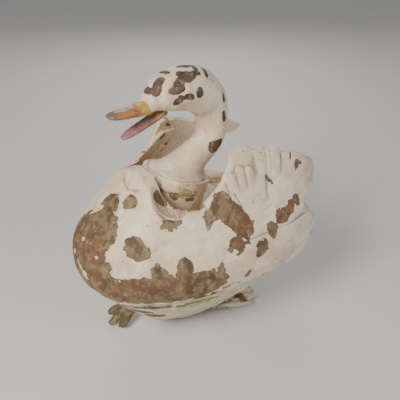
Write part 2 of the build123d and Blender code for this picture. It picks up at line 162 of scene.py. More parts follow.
# %% Keep only the outer shell
def biggest_shell(mesh):
    """Deletes inner shells: label every point by its shell, and keep the largest."""
    pairs = edges_of(mesh)
    label = np.arange(len(mesh.vertices))
    while True:
        low = np.minimum(label[pairs[:, 0]], label[pairs[:, 1]])
        fresh = label.copy()
        np.minimum.at(fresh, pairs[:, 0], low)
        np.minimum.at(fresh, pairs[:, 1], low)
        fresh = fresh[fresh]
        if np.array_equal(fresh, label):
            break
        label = fresh
    names, counts = np.unique(label, return_counts=True)
    keep = names[np.argmax(counts)]
    if len(names) > 1:
        shape = bmesh.new()
        shape.from_mesh(mesh)
        shape.verts.ensure_lookup_table()
        lost = [shape.verts[i] for i in np.nonzero(label != keep)[0]]
        bmesh.ops.delete(shape, geom=lost, context="VERTS")
        shape.to_mesh(mesh)
        shape.free()
    return len(names)


def smooth(mesh, rounds, inward=0.5, outward=-0.52):
    """Smooths without shrinking: a step in, then a slightly longer step out."""
    points, pairs = points_of(mesh), edges_of(mesh)
    count = np.bincount(pairs.ravel(), minlength=len(points))[:, None]
    for step in [inward, outward] * rounds:
        total = np.empty_like(points)
        for axis in range(3):
            total[:, axis] = (np.bincount(pairs[:, 0], points[pairs[:, 1], axis], len(points))
                              + np.bincount(pairs[:, 1], points[pairs[:, 0], axis], len(points)))
        points = points + step * (total / count - points)
    put_points(mesh, points)


def skin(piece, voxel, rounds):
    remesh = piece.modifiers.new("voxels", "REMESH")
    remesh.mode, remesh.voxel_size, remesh.adaptivity = "VOXEL", voxel * MM, 0.0
    mesh = finished_mesh(piece)
    shells = biggest_shell(mesh)
    smooth(mesh, rounds)
    mesh.shade_smooth()
    print(piece.name, "faces", len(mesh.polygons), "shells found", shells)
    return mesh


# %% [markdown]
# Rough numbers that vary smoothly over a surface are needed many times: for dents,
# for the ragged edge of a chip, for blending. A sum of a few seeded sine waves does it
# in one line of array maths and gives the same numbers on every run.

# %% Smooth seeded unevenness
def waves(points, size, seed, count=14):
    """Values near -1 to 1 that change over about size millimetres."""
    chance = np.random.default_rng(seed)
    total = np.zeros(len(points))
    for _ in range(count):
        direction = chance.normal(size=3)
        direction *= chance.uniform(0.6, 1.6) / np.linalg.norm(direction)
        total += np.sin(points @ direction * (2 * math.pi / size) + chance.uniform(0, 2 * math.pi))
    return total / math.sqrt(count / 2) / 1.6


def ramp(values, start, end):
    share = np.clip((values - start) / (end - start), 0, 1)
    return share * share * (3 - 2 * share)


# %% [markdown]
# The lower hull and the upper body are bolted together on a gasket, and the joint runs
# round the belly as one thin line. Both halves are skinned together, so the surface
# stays fair across the joint, and then they are cut apart again at the gasket. Bolt
# holes would let the remesh flow into the hollow inside, so plugs close them first.

# %% Skin the two body castings
SHIFT = -4.5
SEAM = 120.0
COLLAR = Vector((0, -34 + SHIFT, 272))
NECK_AXIS = Vector((0, math.sin(math.radians(18)), math.cos(math.radians(18))))


def on_collar(height):
    return tuple(COLLAR + NECK_AXIS * height)


hull_plugs = [
    ((0, 76 + SHIFT, 29), (0, 76 + SHIFT, 46), 8),
    ((0, -6 + SHIFT, 15), (0, -6 + SHIFT, 34), 5),
    ((0, 40 + SHIFT, 15), (0, 40 + SHIFT, 34), 5),
    (on_collar(-12), on_collar(-1.2), 41),
]
for x, y, pad in ((44, 14, 28), (-38, -95, 39)):
    for step in (-9, 9):
        screw_y = y + step + SHIFT
        hull_plugs.append(((x, screw_y, pad + 0.5), (x, screw_y, pad + 10), 4))
body = joined_copy("body_casting", ["upper_body", "lower_hull", "hull_gasket", "wing_bolts", "tail_bolts"],
                   rods=hull_plugs)
skin(body, 2.0, 3)

# %% [markdown]
# Age shows first where paint has come away. Each flake is a place on the surface with
# a reach across and a reach upwards. A point's depth inside the nearest flake, in
# millimetres, is stored on the mesh: the shader turns it into a hard ragged edge, and
# the mesh itself steps down by the thickness of the paint.

# %% Depth inside a set of patches
def patch_depth(points, normals, patches):
    """How deep each point is inside the nearest patch, negative outside all of them."""
    depth = np.full(len(points), -30.0)
    for (x, y, z), across, upwards, turn in patches:
        offset = points - np.array([x, y + SHIFT, z])
        nearest = int(np.argmin((offset ** 2).sum(1)))
        facing = normals[nearest]
        side = np.cross((0, 0, 1), facing)
        side = np.array([1.0, 0, 0]) if np.linalg.norm(side) < 0.2 else side / np.linalg.norm(side)
        rise = np.cross(facing, side)
        turned = math.radians(turn)
        along = math.cos(turned) * side + math.sin(turned) * rise
        over = math.cos(turned) * rise - math.sin(turned) * side
        reach = np.sqrt((offset @ along / across) ** 2 + (offset @ over / upwards) ** 2
                        + (offset @ facing / (1.3 * max(across, upwards))) ** 2)
        inside = (1 - reach) * min(across, upwards)
        inside[normals @ facing < -0.1] = -30.0
        depth = np.maximum(depth, inside)
    return depth


def hollowness(mesh):
    """How far each point lies below its smoothed surroundings, in millimetres."""
    before = points_of(mesh)
    spare = mesh.copy()
    smooth(spare, 14, 0.6, 0.5)
    depth = ((points_of(spare) - before) * normals_of(mesh)).sum(1)
    bpy.data.meshes.remove(spare)
    return depth


PAINT = 0.45


def age(mesh, flakes, seed, rust=(), moss=(), kept=(), ragged=2.2, extra=0):
    """Stores flaked, rusty, mossy and hollow on a mesh and lets the flakes sink in."""
    points, normals = points_of(mesh), normals_of(mesh)
    flakes = list(flakes)
    chance = np.random.default_rng(seed)
    for _ in range(extra):
        x, y, z = points[chance.integers(len(points))]
        if x < 0 or y > 90:
            size = 1.6 + 9 * chance.random() ** 3
            for _ in range(chance.integers(1, 4)):
                aside = chance.normal(0, 1.1 * size, 3)
                flakes.append(((x + aside[0], y - SHIFT + aside[1], z + aside[2]),
                               size * chance.uniform(0.6, 1.5), size * chance.uniform(0.4, 0.9),
                               chance.uniform(0, 90)))
    edge = waves(points, 17, seed) * ragged + waves(points, 6, seed + 1) * ragged * 0.4
    depth = patch_depth(points, normals, flakes) + edge
    if kept:
        depth = np.minimum(depth, -patch_depth(points, normals, kept) + 0.5 * edge)
    put_attribute(mesh, "rusty", ramp(patch_depth(points, normals, rust) + 2 * edge, -6, 6) if rust
                  else np.zeros(len(points)))
    put_attribute(mesh, "mossy", ramp(patch_depth(points, normals, moss) + 2 * edge, -5, 6) if moss
                  else np.zeros(len(points)))
    put_attribute(mesh, "hollow", hollowness(mesh))
    put_attribute(mesh, "flaked", depth)
    put_points(mesh, points - normals * (PAINT * ramp(depth, -0.7, 0.7))[:, None])


# %% [markdown]
# The body casting is never perfectly fair. Slow dents of half a millimetre catch the
# light, a shallow groove marks the gasket, and a raised oval boss stands on the left
# shoulder beside the collar.

# %% Sculpt the body
def boss(points, centre, size, height):
    offset = (points - np.array(centre)) / np.array(size)
    return height * np.clip(1 - (offset ** 2).sum(1), 0, 1) ** 0.6


def from_neck_axis(points):
    """Each point's height along the neck's axis above the collar, and its offset from the axis."""
    offset = points - np.array(COLLAR)
    height = offset @ np.array(NECK_AXIS)
    return height, offset - height[:, None] * np.array(NECK_AXIS)


def straighten_stem(mesh, radius=51.0):
    """Trims the collar over the well back to the stem under it."""
    points = points_of(mesh)
    height, offset = from_neck_axis(points)
    reach = np.linalg.norm(offset, axis=1)
    share = ramp(points[:, 1] - SHIFT, -96, -74) * ramp(height, -17, -15) * (1 - ramp(height, 3.6, 4))
    share *= (reach > radius) * (reach < 59)
    points -= offset * (share * (1 - radius / np.maximum(reach, 1)))[:, None]
    put_points(mesh, points)


def sink_bowl(mesh, centre=(61, -80), reach=(29, 29), depth=15.0):
    """Sinks a bowl into the left shoulder between the stem and the rim."""
    points, normals = points_of(mesh), normals_of(mesh)
    _, offset = from_neck_axis(points)
    across, along = points[:, 0] - centre[0], points[:, 1] - SHIFT - centre[1]
    from_middle = np.hypot(across / reach[0], along / reach[1])
    share = np.clip(1 - from_middle ** 3, 0, 1) ** 0.8 * ramp(np.linalg.norm(offset, axis=1), 51.5, 56)
    share *= ramp(normals[:, 2], 0.0, 0.35) * (points[:, 2] > 236)
    points[:, 2] -= depth * share
    put_points(mesh, points)


def carve_body(mesh):
    points, normals = points_of(mesh), normals_of(mesh)
    height = 0.7 * waves(points, 85, 5) + 0.25 * waves(points, 22, 6)
    outside = ramp(np.abs(points[:, 0]) / 140 + np.abs(points[:, 1] + 4) / 205, 0.55, 0.7)
    joint = np.abs(points[:, 2] - SEAM - 2.5 * waves(points * (1, 1, 0), 120, 8))
    height -= outside * 1.1 * np.exp(-(joint / 1.8) ** 2)
    height += outside * 0.9 * ramp(points[:, 2] - SEAM, 0, 4) * (1 - ramp(points[:, 2] - SEAM, 4, 26))
    height += boss(points, (8, -108 + SHIFT, 286), (21, 15, 14), 2.6)
    height -= boss(points, (9, -110 + SHIFT, 285), (15, 9, 9), 1.4)
    put_points(mesh, points + normals * height[:, None])
    straighten_stem(mesh)
    sink_bowl(mesh)
    smooth(mesh, 1)


carve_body(body.data)

# %% [markdown]
# The paint has gone from the breast, from a band along the belly and from a few islands
# between them. Each is listed as a place in millimetres with its two reaches and a turn.
# The rust, the moss and the scraps of paint left inside a patch are listed the same way.

# %% Flakes on the body
BODY_FLAKES = [
    ((8, -178, 222), 38, 42, 0), ((-6, -146, 252), 17, 20, 0), ((22, -198, 192), 40, 22, 0),
    ((-34, -180, 205), 26, 34, 0), ((47, -193, 168), 26, 22, 0), ((26, -129, 264), 12, 12, 20),
    ((73, -147, 220), 20, 15, -20), ((66, -150, 230), 8, 7, 0), ((85, -97, 249), 14, 8, 0),
    ((60, -185, 154), 26, 28, 0), ((82, -165, 154), 26, 27, 0), ((98, -143, 154), 27, 29, 0),
    ((111, -118, 154), 27, 31, 0), ((121, -91, 154), 26, 30, 0), ((127, -66, 154), 22, 29, 0),
    ((130, -46, 157), 13, 23, 0), ((101, -130, 188), 12, 13, 0), ((115, -97, 188), 14, 19, 0),
    ((117, -94, 202), 7, 7, 0),
    ((131, -42, 185), 4, 4, 0), ((134, 3, 150), 6, 7, 0), ((121, 51, 123), 6, 5, 0),
    ((128, -24, 134), 12, 4, 0), ((20, -198, 150), 24, 12, 0), ((-20, -198, 160), 30, 20, 0),
    ((-60, -178, 160), 26, 24, 0), ((-104, -120, 158), 30, 22, 0), ((-126, -60, 160), 22, 14, 0),
    ((-90, -140, 215), 15, 12, 0), ((-112, -70, 225), 10, 14, 0), ((-60, 170, 150), 10, 8, 0),
    ((40, -84, 262), 15, 15, 0), ((46, -66, 262), 8, 10, 0), ((50, -43, 251), 8, 5, 0),
    ((66, 176, 146), 12, 9, 0), ((30, -86, 280), 4, 5, 0), ((124, -60, 120), 14, 4, 0),
]
BODY_KEPT = [((-22, -157, 239), 5, 17, -30), ((36, -196, 205), 7, 6, 0), ((-4, -188, 208), 4, 3, 0)]
BODY_RUST = [
    ((14, -190, 205), 34, 22, 0), ((40, -197, 172), 20, 14, 0), ((38, -73, 257), 16, 18, 0),
    ((98, -143, 170), 34, 8, 0), ((70, -172, 150), 18, 12, 0), ((-30, -190, 190), 22, 16, 0),
    ((121, -91, 168), 14, 7, 0),
]
BODY_MOSS = [((49, -55, 266), 12, 10, 0), ((47, -45, 262), 12, 9, 0), ((-50, -52, 268), 9, 9, 0)]
HULL_FLAKES = [
    ((46, -134, 84), 20, 10, 0), ((47, -109, 64), 18, 12, 0), ((88, -128, 104), 24, 7, 0),
    ((64, -150, 104), 22, 6, 0), ((30, -160, 106), 26, 8, 0), ((104, -80, 104), 20, 5, 0),
    ((-50, -130, 82), 18, 10, 0), ((-96, -60, 92), 22, 8, 0), ((108, -40, 102), 7, 4, 0),
    ((60, 110, 76), 12, 8, 0), ((-60, 100, 76), 14, 9, 0), ((20, -60, 18), 24, 20, 0),
]
age(body.data, BODY_FLAKES + HULL_FLAKES, 11, BODY_RUST,
    BODY_MOSS + [((110, -60, 96), 30, 16, 0), ((-100, 20, 90), 40, 16, 0)], BODY_KEPT, extra=34)
print("flakes on the body:", len(BODY_FLAKES) + len(HULL_FLAKES))


# %% [markdown]
# The two halves are separate castings, so the finished skin is parted again. A plane
# cuts the mesh, one side is cleared, and the open rim is filled so that each half is a
# closed solid. The same helper parts the head from the neck further on.

# %% Cut the two halves apart at the gasket
def half_of(piece, name, point, direction):
    """A closed copy of the part of a piece on the side that direction points to."""
    shape = bmesh.new()
    shape.from_mesh(piece.data)
    everything = shape.verts[:] + shape.edges[:] + shape.faces[:]
    cut = bmesh.ops.bisect_plane(shape, geom=everything, plane_co=Vector(point) * MM,
                                 plane_no=direction, clear_inner=True)
    rim = [item for item in cut["geom_cut"] if isinstance(item, bmesh.types.BMEdge)]
    bmesh.ops.triangle_fill(shape, use_beauty=True, edges=rim, normal=-Vector(direction))
    mesh = bpy.data.meshes.new(name)
    shape.to_mesh(mesh)
    shape.free()
    half = bpy.data.objects.new(name, mesh)
    bpy.context.scene.collection.objects.link(half)
    print(name, "triangles", sum(len(face.vertices) - 2 for face in mesh.polygons))
    return half


body_top = half_of(body, "body_shell", (0, 0, SEAM + 0.2), (0, 0, 1))
body_bottom = half_of(body, "hull_shell", (0, 0, SEAM - 0.2), (0, 0, -1))
body_faces = BVHTree.FromPolygons([tuple(p) for p in points_of(body.data)],
                                  [tuple(face.vertices) for face in body.data.polygons])
bpy.data.objects.remove(body)

# %% [markdown]
# A wing is a cast panel of overlapping feathers. Each feather is drawn in the side
# view from its root to its tip, with a width and a height. Feathers are laid one over
# another in the order of the list, like slates, so every tip ends in a real step.

# %% Feathers as relief
def feather_relief(y, z, feathers):
    """Height of the outermost feather over each point, from overlapping strokes."""
    height = np.zeros(len(y))
    for (y0, z0), (y1, z1), width, rise in feathers:
        length = math.hypot(y1 - y0, z1 - z0)
        along_y, along_z = (y1 - y0) / length, (z1 - z0) / length
        along = ((y - y0) * along_y + (z - z0) * along_z) / length
        aside = (z - z0) * along_y - (y - y0) * along_z
        taper = np.sqrt(np.clip(1 - (np.clip(along - 0.72, 0, None) / 0.30) ** 2, 0, 1))
        taper *= 0.75 + 0.25 * ramp(along, 0, 0.5)
        edge = width * taper - np.abs(aside)
        cover = ramp(edge, -0.4, 1.6) * ramp(along, 0.0, 0.25)
        crown = rise * (0.45 + 0.55 * np.clip(along, 0, 1)) * (1 - 0.55 * (aside / width) ** 2)
        crown += 0.35 * np.exp(-(aside / 0.9) ** 2)
        height = height * (1 - cover) + (0.35 * height + np.clip(crown, 0, None)) * cover
    return height


# Each feather: root (y, z), tip (y, z), half width, rise.
LOWER_FEATHERS = [
    ((-34, 142), (160, 138), 13, 2.6), ((-40, 160), (170, 156), 13, 3.0), ((-46, 180), (176, 176), 13, 3.6),
    ((-30, 200), (160, 196), 14, 3.8),
]
PRIMARIES = [
    ((16, 214), (152, 244), 17, 3.0), ((24, 226), (170, 262), 18, 2.0), ((34, 240), (166, 280), 18, 1.8),
    ((40, 254), (150, 298), 18, 2.0), ((48, 268), (128, 316), 19, 2.4),
]
KNUCKLES = [
    ((22, 250), (13, 338), 27, 3.8), ((44, 284), (42, 335), 14, 4.6), ((60, 282), (65, 333), 14, 5.2),
    ((-6, 276), (-9, 303), 9, 3.6), ((7, 276), (4, 311), 8, 4.0), ((20, 276), (18, 309), 8, 4.2),
]
LEFT_FEATHERS = LOWER_FEATHERS + PRIMARIES + KNUCKLES
RIGHT_FEATHERS = LOWER_FEATHERS + PRIMARIES + [
    ((22, 246), (8, 326), 24, 4.4), ((42, 250), (44, 316), 14, 4.8), ((55, 246), (70, 310), 14, 5.4)]

# %% [markdown]
# Each wing panel was cast apart and bedded on the body in filler, so its front edge
# fades out while its lower edge keeps a visible step. The distance from a line drawn
# in the side view says how far a point has faded, and faded points move on to the body.

# %% Blend a panel into the body
SHOULDER_EDGE = [(-62, 276), (-62, 236), (-44, 206)]
LOWER_EDGE = [(150, 128), (96, 124), (40, 136), (-6, 170), (-44, 206)]


def edge_distance(y, z, line):
    nearest = np.full(len(y), 1e6)
    for (y0, z0), (y1, z1) in zip(line, line[1:]):
        length = math.hypot(y1 - y0, z1 - z0)
        share = np.clip(((y - y0) * (y1 - y0) + (z - z0) * (z1 - z0)) / length ** 2, 0, 1)
        nearest = np.minimum(nearest, np.hypot(y - y0 - share * (y1 - y0), z - z0 - share * (z1 - z0)))
    return nearest


def sink_edges(mesh, fade, thinnest=0.04, panel=11):
    """Thins a panel, no thicker than this in mm, towards its faded edges."""
    points = points_of(mesh)
    for index in np.nonzero(fade < 1)[0]:
        place, _, _, distance = body_faces.find_nearest(Vector(points[index]))
        if place is not None and distance < panel:
            share = thinnest + (1 - thinnest) * fade[index]
            points[index] = np.array(place) + (points[index] - np.array(place)) * share
    put_points(mesh, points)


# %% [markdown]
# Both wings take the same steps: skin, fade, feathers, age. The two differ only in their
# top feathers and in how much paint they have lost, so one function makes both and
# mirrors the lists for the right side.

# %% Cast both wings
WING_FLAKES = [
    ((106, -27, 272), 14, 12, 0), ((116, -22, 254), 15, 18, 0), ((124, -9, 240), 16, 19, 0),
    ((129, 0, 228), 12, 17, 0), ((109, -40, 259), 18, 11, 25), ((131, -19, 214), 11, 10, 0),
    ((134, -29, 203), 5, 5, 0), ((111, -59, 245), 10, 9, 0), ((132, 64, 228), 13, 13, 30),
    ((128, 82, 235), 12, 11, 30), ((136, 42, 214), 10, 12, 20), ((124, 98, 240), 8, 10, 30),
    ((140, 20, 195), 11, 12, 0), ((108, 106, 287), 5, 3, 30), ((104, 113, 290), 4, 3, 0),
    ((112, 49, 285), 3, 7, 40), ((119, 18, 260), 3, 4, 0), ((134, -4, 184), 4, 3, 0),
    ((136, -13, 207), 12, 5, 20), ((137, -20, 196), 7, 3, 30), ((137, -6, 178), 7, 3, 40),
    ((136, 6, 168), 6, 3, 40), ((135, 20, 158), 7, 3, 40), ((133, 34, 148), 6, 4, 20),
    ((130, 62, 140), 13, 6, 10), ((128, 40, 138), 10, 4, 0),
]
WING_RUST = [((130, 0, 226), 14, 20, 0), ((130, 70, 230), 26, 14, 30), ((131, -19, 214), 12, 10, 0)]


def cast_wing(side, node, feathers, seed, flakes, rust):
    wing = joined_copy(node + "_casting", [node])
    mesh = skin(wing, 1.4, 2)
    points = points_of(mesh)
    y, z = points[:, 1] - SHIFT, points[:, 2]
    fade = ramp(edge_distance(y, z, SHOULDER_EDGE), 0, 36)
    fade *= 0.35 + 0.65 * ramp(edge_distance(y, z, LOWER_EDGE), 0, 12)
    sink_edges(mesh, fade)
    points, normals = points_of(mesh), normals_of(mesh)
    outward = ramp(normals[:, 0] * side, 0.05, 0.45)
    inward = ramp(-normals[:, 0] * side, 0.3, 0.6)
    relief = feather_relief(y, z, feathers)
    height = relief * outward * fade + 0.3 * relief * inward * fade
    height += 0.5 * waves(points, 40, seed) * fade
    put_points(mesh, points + normals * height[:, None])
    smooth(mesh, 1)
    age(mesh, [((side * c[0], *c[1:]), a, u, t * side) for c, a, u, t in flakes], seed,
        [((side * c[0], *c[1:]), a, u, t * side) for c, a, u, t in rust], extra=14)
    return wing


left_wing = cast_wing(1, "left_wing", LEFT_FEATHERS, 21, WING_FLAKES, WING_RUST)
right_wing = cast_wing(-1, "right_wing", RIGHT_FEATHERS, 31,
                       [WING_FLAKES[i] for i in (2, 5, 8, 9, 12, 13)], WING_RUST[1:2])

# %% [markdown]
# The tail is a short fan of blunt feathers across the stern. It is carved in the same
# way, but the strokes are drawn in the rear view, fanning out from below.

# %% Cast the tail
tail = joined_copy("tail_casting", ["tail"])
skin(tail, 1.3, 2)
TAIL_FEATHERS = [((math.sin(a) * 12, 92), (math.sin(a) * 70, 92 + math.cos(a) * 66), 11, 2.6)
                 for a in (math.radians(d) for d in (-66, 66, -44, 44, -22, 22, 0))]


def carve_tail(mesh):
    points, normals = points_of(mesh), normals_of(mesh)
    relief = feather_relief(points[:, 0], points[:, 2], TAIL_FEATHERS)
    height = relief * ramp(normals[:, 1], 0.2, 0.6) + 0.4 * waves(points, 30, 41)
    put_points(mesh, points + normals * height[:, None])
    smooth(mesh, 1)


carve_tail(tail.data)
age(tail.data, [((20, 206, 140), 8, 6, 0), ((-30, 204, 128), 10, 8, 0)], 42, extra=6)

# %% [markdown]
# Neck and head are two castings on a sleeve, filled and painted over so that no joint
# shows. They are skinned together and then parted at the sleeve, like the body. The
# mouth is blocked first, because the head is hollow behind it.

# %% Cast the neck and the head
neck_and_head = joined_copy(
    "neck_and_head", ["neck", "head", "head_sleeve"],
    rods=[(on_collar(1), on_collar(24), 13), ((0, -56 + SHIFT, 388), (0, -76 + SHIFT, 387), 6)],
    blocks=[((-14, -64 + SHIFT, 381.5), (14, -36 + SHIFT, 398))])
skin(neck_and_head, 1.15, 3)


def carve_head(mesh):
    points, normals = points_of(mesh), normals_of(mesh)
    x, y, z = points[:, 0], points[:, 1] - SHIFT, points[:, 2]
    height = 0.45 * waves(points, 50, 51) + 0.12 * waves(points, 14, 52)
    brow = np.hypot((y + 46) / 17, (z - 411) / 10)
    height += 0.9 * np.exp(-((brow - 1.0) / 0.22) ** 2) * ramp(np.abs(x), 16, 22)
    cheek = np.hypot((y + 30) / 26, (z - 392) / 13)
    height += 1.3 * np.clip(1 - cheek ** 2, 0, 1) * ramp(np.abs(x), 12, 24)
    put_points(mesh, points + normals * height[:, None])
    smooth(mesh, 1)


carve_head(neck_and_head.data)
HEAD_FLAKES = [
    ((23, -28, 424), 14, 8, 10), ((25, -42, 419), 12, 7, 25), ((22, -15, 425), 9, 6, 0),
    ((18, -34, 428), 7, 4, 0), ((28, -46, 394), 7, 5, 20), ((31, -37, 399), 6, 3, 0),
    ((32, -31, 400), 7, 5, -20), ((32, -12, 402), 6, 8, 30), ((13, -68, 413), 8, 13, 0),
    ((9, -61, 421), 7, 6, 0), ((2, -72, 406), 9, 6, 0), ((3, -49, 429), 10, 4, 0),
    ((5, -22, 434), 15, 5, 90), ((12, -6, 430), 10, 5, 60), ((17, 8, 421), 9, 4, 40),
    ((-22, -26, 425), 11, 8, 0), ((-29, -44, 398), 8, 5, 0), ((-31, -8, 404), 7, 7, 0),
]
NECK_FLAKES = [
    ((23, 36, 382), 3, 6, 0), ((25, 36, 354), 4, 8, 0), ((22, 20, 308), 10, 11, 0),
    ((21, 30, 312), 7, 7, 0), ((21, 10, 296), 5, 8, 0), ((-20, 36, 350), 7, 12, 0),
    ((-22, 10, 300), 10, 8, 0), ((8, -28, 296), 1.6, 1.6, 0), ((0, 50, 330), 6, 9, 0),
]
age(neck_and_head.data, HEAD_FLAKES + NECK_FLAKES, 55, [((22, 20, 308), 10, 11, 0)],
    [((34, -32, 276), 16, 8, 0)], ragged=1.3, extra=10)
HEAD_JOINT, HEAD_LEAN = (0, 18 + SHIFT, 381), math.radians(-50)
head_side = Vector((0, math.sin(HEAD_LEAN), math.cos(HEAD_LEAN)))
head = half_of(neck_and_head, "head_casting", HEAD_JOINT, tuple(head_side))
neck = half_of(neck_and_head, "neck_casting", HEAD_JOINT, tuple(-head_side))
bpy.data.objects.remove(neck_and_head)

# %% [markdown]
# An eye is a flat almond let into the head: a raised rim with a low dome inside it. It
# is built as rings that follow one outline inwards, each ring with its own height, and
# the last ring closes under the rim so that the shape is solid.

# %% Build both eyes
EYE_AT, EYE_TILT = (-46 + SHIFT, 411), 0.12
EYE_RINGS = [(0.02, 3.3), (0.25, 3.2), (0.45, 2.8), (0.60, 2.1), (0.70, 1.3), (0.76, 1.1), (0.80, 1.9),
             (0.86, 2.5), (0.93, 2.4), (0.98, 1.6), (1.0, 0.4), (1.0, -3.6), (0.02, -3.6)]


def almond(turn, share):
    """A point on an almond outline, pointed in front and blunt behind."""
    height = math.sin(turn) * (0.72 + 0.28 * abs(math.sin(turn)))
    return 13 * share * math.cos(turn), 6.6 * share * height


def build_eye(side):
    shape = bmesh.new()
    count = 56
    rings = []
    for share, out in EYE_RINGS:
        ring = []
        for step in range(count):
            along, up = almond(2 * math.pi * step / count, share)
            x = 26.6 + out - 0.0095 * along ** 2 + 0.02 * along
            place = Vector((side * x, EYE_AT[0] + along, EYE_AT[1] + up + EYE_TILT * along))
            ring.append(shape.verts.new(place * MM))
        rings.append(ring)
    for ring, below in zip(rings, rings[1:]):
        for step in range(count):
            shape.faces.new((ring[step], ring[(step + 1) % count], below[(step + 1) % count], below[step]))
    shape.faces.new(rings[0])
    shape.faces.new(rings[-1])
    bmesh.ops.recalc_face_normals(shape, faces=shape.faces)
    mesh = bpy.data.meshes.new("eye")
    shape.to_mesh(mesh)
    shape.free()
    eye = bpy.data.objects.new(("left" if side > 0 else "right") + "_eye_almond", mesh)
    bpy.context.scene.collection.objects.link(eye)
    finish_round = eye.modifiers.new("rounding", "SUBSURF")
    finish_round.levels = finish_round.render_levels = 1
    mesh = finished_mesh(eye)
    mesh.shade_smooth()
    points = points_of(mesh)
    along = points[:, 1] - EYE_AT[0]
    up = points[:, 2] - EYE_AT[1] - EYE_TILT * along
    rim = np.hypot(along / 13, up / 6.6)
    put_attribute(mesh, "rim", ramp(rim, 0.70, 0.82))
    return eye


eyes = [build_eye(1), build_eye(-1)]
print("eyes:", [eye.name for eye in eyes])

# %% [markdown]
# The bill is bare of feathers and thinly painted. The upper half ends in a hard nail;
# a lip line runs along each side, and a nostril opens on each side near the root. The
# lower half is a shallow trough that hangs open on its pin.

# %% Cast the bill
upper_bill = joined_copy("upper_bill_casting", ["upper_bill"])
skin(upper_bill, 0.62, 3)


def carve_upper_bill(mesh):
    points, normals = points_of(mesh), normals_of(mesh)
    x, y, z = points[:, 0], points[:, 1] - SHIFT, points[:, 2]
    height = 0.16 * waves(points, 16, 61)
    lip = 381.2 + 0.02 * (y + 110)
    height -= 0.55 * np.exp(-((z - lip) / 0.7) ** 2) * ramp(np.abs(normals[:, 0]), 0.3, 0.7)
    nostril = np.hypot((y + 100) / 4.6, (z - 388.4) / 1.4)
    height -= 1.1 * np.exp(-nostril ** 4) * ramp(np.abs(x), 3, 5)
    nail = np.hypot((y + 133) / 7, x / 6.5)
    height += 0.8 * ramp(1.15 - nail, 0, 0.3) * ramp(normals[:, 2], 0, 0.5)
    put_points(mesh, points + normals * height[:, None])
    smooth(mesh, 1)
    points = points_of(mesh)
    x, y, z = points[:, 0], points[:, 1] - SHIFT, points[:, 2]
    put_attribute(mesh, "tip", ramp(-y + 1.5 * waves(points, 9, 62), 124, 131))
    put_attribute(mesh, "root", ramp(y + 2.2 * waves(points, 11, 63) + 0.35 * (384 - z), -99, -93))
    put_attribute(mesh, "ridge", ramp(normals_of(mesh)[:, 2] + 0.25 * waves(points, 12, 64), 0.45, 0.75))
    put_attribute(mesh, "hollow", hollowness(mesh))


carve_upper_bill(upper_bill.data)
lower_bill = joined_copy("lower_bill_casting", ["lower_bill"])
skin(lower_bill, 0.62, 2)


def carve_lower_bill(mesh):
    points, normals = points_of(mesh), normals_of(mesh)
    x, y, z = points[:, 0], points[:, 1] - SHIFT, points[:, 2]
    trough = np.clip(1 - (x / 6.5) ** 2, 0, 1) * ramp(-y, 66, 76) * (1 - ramp(-y, 108, 117))
    height = 0.14 * waves(points, 14, 71) - 1.3 * trough * ramp(normals[:, 2], 0.4, 0.8)
    put_points(mesh, points + normals * height[:, None])
    smooth(mesh, 1)
    points = points_of(mesh)
    put_attribute(mesh, "tip", ramp(-(points[:, 1] - SHIFT) + 2 * waves(points, 9, 72), 108, 114))
    put_attribute(mesh, "root", ramp(points[:, 1] - SHIFT + 2 * waves(points, 9, 73), -74, -66))
    blotch = np.hypot((points[:, 1] - SHIFT + 108) / 9, (points[:, 2] - 355) / 7)
    put_attribute(mesh, "ridge", ramp(1.1 - blotch + 0.3 * waves(points, 7, 74), 0, 0.4))
    put_attribute(mesh, "hollow", hollowness(mesh))


carve_lower_bill(lower_bill.data)

# %% [markdown]
# The feet are thick webbed paddles. Fat rods along the toes and a pad in the web turn
# the thin paddle of the CAD into a foundry shape, and two blunt claws end each toe.
# Nothing is added near the ankle, where the foot turns.

# %% Cast the feet
def toe_end(ankle, pitch, heading, degrees, length, share=1.0):
    turn, tilt = math.radians(degrees), math.radians(pitch)
    across, out = length * share * math.sin(turn), length * share * math.cos(turn)
    return (ankle[0] + heading * across, ankle[1] + SHIFT + heading * out * math.cos(tilt),
            ankle[2] - out * math.sin(tilt))


def cast_foot(node, ankle, pitch, heading, toes, thick, worn, seed):
    rods, balls = [], []
    for degrees, length in toes:
        start = toe_end(ankle, pitch, heading, degrees, length, 0.36)
        end = toe_end(ankle, pitch, heading, degrees, length, 0.93)
        rods.append((start, end, thick, thick * 0.85))
        balls.append((end, (thick * 0.8, thick * 1.1, thick * 0.7)))
        for spread in (-0.055, 0.055):
            claw = toe_end(ankle, pitch, heading, degrees + 57 * spread, length, 1.0)
            balls.append((claw, (thick * 0.42, thick * 0.7, thick * 0.4)))
    palm = toe_end(ankle, pitch, heading, toes[1][0], toes[1][1], 0.62)
    balls.append((palm, (thick * 2.6, toes[1][1] * 0.26, thick * 0.9)))
    foot = joined_copy(node + "_casting", [node], rods=rods, balls=balls)
    mesh = skin(foot, 0.95, 2)
    points, normals = points_of(mesh), normals_of(mesh)
    put_points(mesh, points + normals * (0.35 * waves(points, 9, seed))[:, None])
    points = points_of(mesh)
    points[:, 2] = np.maximum(points[:, 2], 0.6)
    put_points(mesh, points)
    middle = Vector(toe_end(ankle, pitch, heading, 0, toes[1][1], 0.6)) - Vector((0, SHIFT, 0))
    age(mesh, [(tuple(middle), worn, 0.8 * worn, 0)], seed, ragged=3.2, extra=3)
    return foot


left_foot = cast_foot("left_foot", (44, 14, 20), 10.0, 1, ((17, 62), (3, 85), (-10, 94)), 4.6, 12, 81)
right_foot = cast_foot("right_foot", (-38, -95, 31), 29.5, -1, ((25, 52), (1, 57), (-24, 51)), 8.6, 40, 91)

